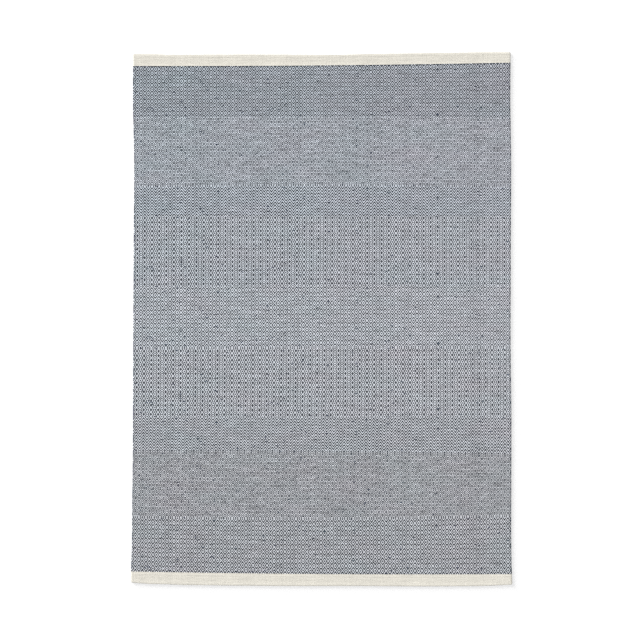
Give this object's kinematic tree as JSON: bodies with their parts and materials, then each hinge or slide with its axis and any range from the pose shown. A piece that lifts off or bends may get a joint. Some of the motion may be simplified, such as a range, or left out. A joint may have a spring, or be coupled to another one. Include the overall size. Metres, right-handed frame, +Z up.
{
  "type": "flat-woven kilim rug",
  "caption": "Flat rectangular woven rug that lies on a floor, with twill bands of small diamonds, dots and chevrons in slate blue on cream, plain cream end bands and straight selvedges.",
  "frame": {"origin": "under the middle of the rug, on its underside", "axes": "+X across the rug from selvedge to selvedge, +Y along the warp, +Z up out of the upper face"},
  "size_m": [1.716, 2.405, 0.005],
  "materials": {
    "woven_wool": "matt flat weave, cream warp and slate-blue weft"
  },
  "bodies": {
    "root": {"cloth": "woven_wool"}
  },
  "joints": []
}
